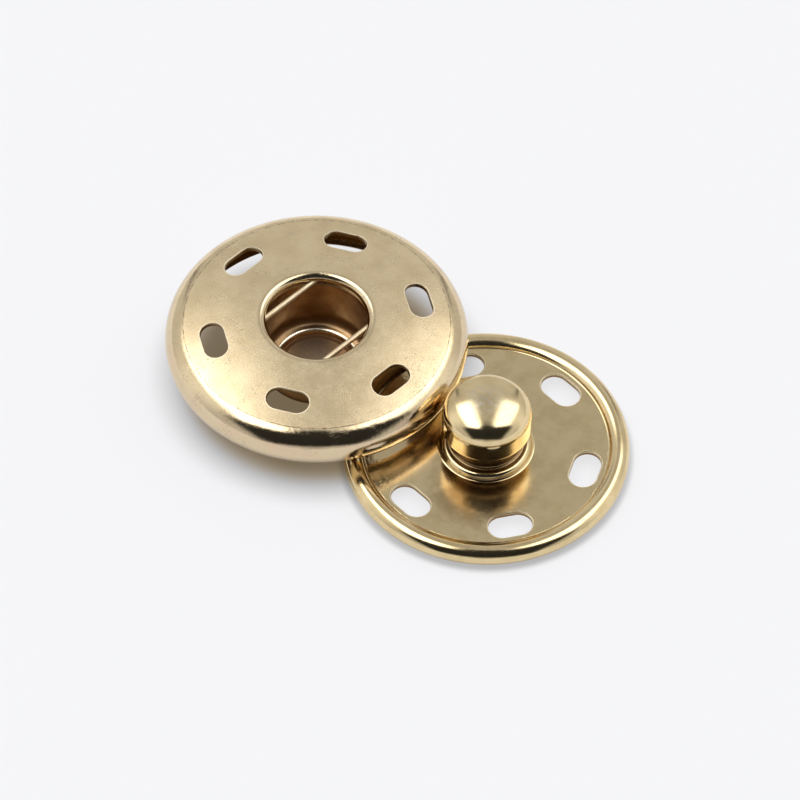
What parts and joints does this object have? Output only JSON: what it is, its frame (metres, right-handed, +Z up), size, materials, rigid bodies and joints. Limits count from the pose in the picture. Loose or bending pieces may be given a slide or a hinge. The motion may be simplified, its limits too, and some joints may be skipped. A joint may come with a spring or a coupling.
{
  "type": "snap fastener",
  "caption": "Large sew-on metal snap fastener: a socket half with a deep cup and a wire spring, and a stud half with a domed head, both with a ring of sewing slots",
  "frame": {"origin": "The middle of the flat base of the socket half's cup, on the table that both halves lie on", "axes": "+Z is up, along the axis of each half and out of the socket's mouth; +X points from the socket half to the stud half"},
  "size_m": [0.0491, 0.03, 0.009],
  "materials": {
    "satin_gold_plate": "light gold plate, satin with fine pits",
    "drawn_gold_plate": "light gold plate over a drawn surface",
    "spring_wire": "bright drawn wire",
    "polished_gold_plate": "light gold plate, polished"
  },
  "bodies": {
    "root": {"socket_shell": "satin_gold_plate", "socket_cup": "drawn_gold_plate", "socket_spring": "spring_wire", "stud_half": "polished_gold_plate"}
  },
  "joints": []
}
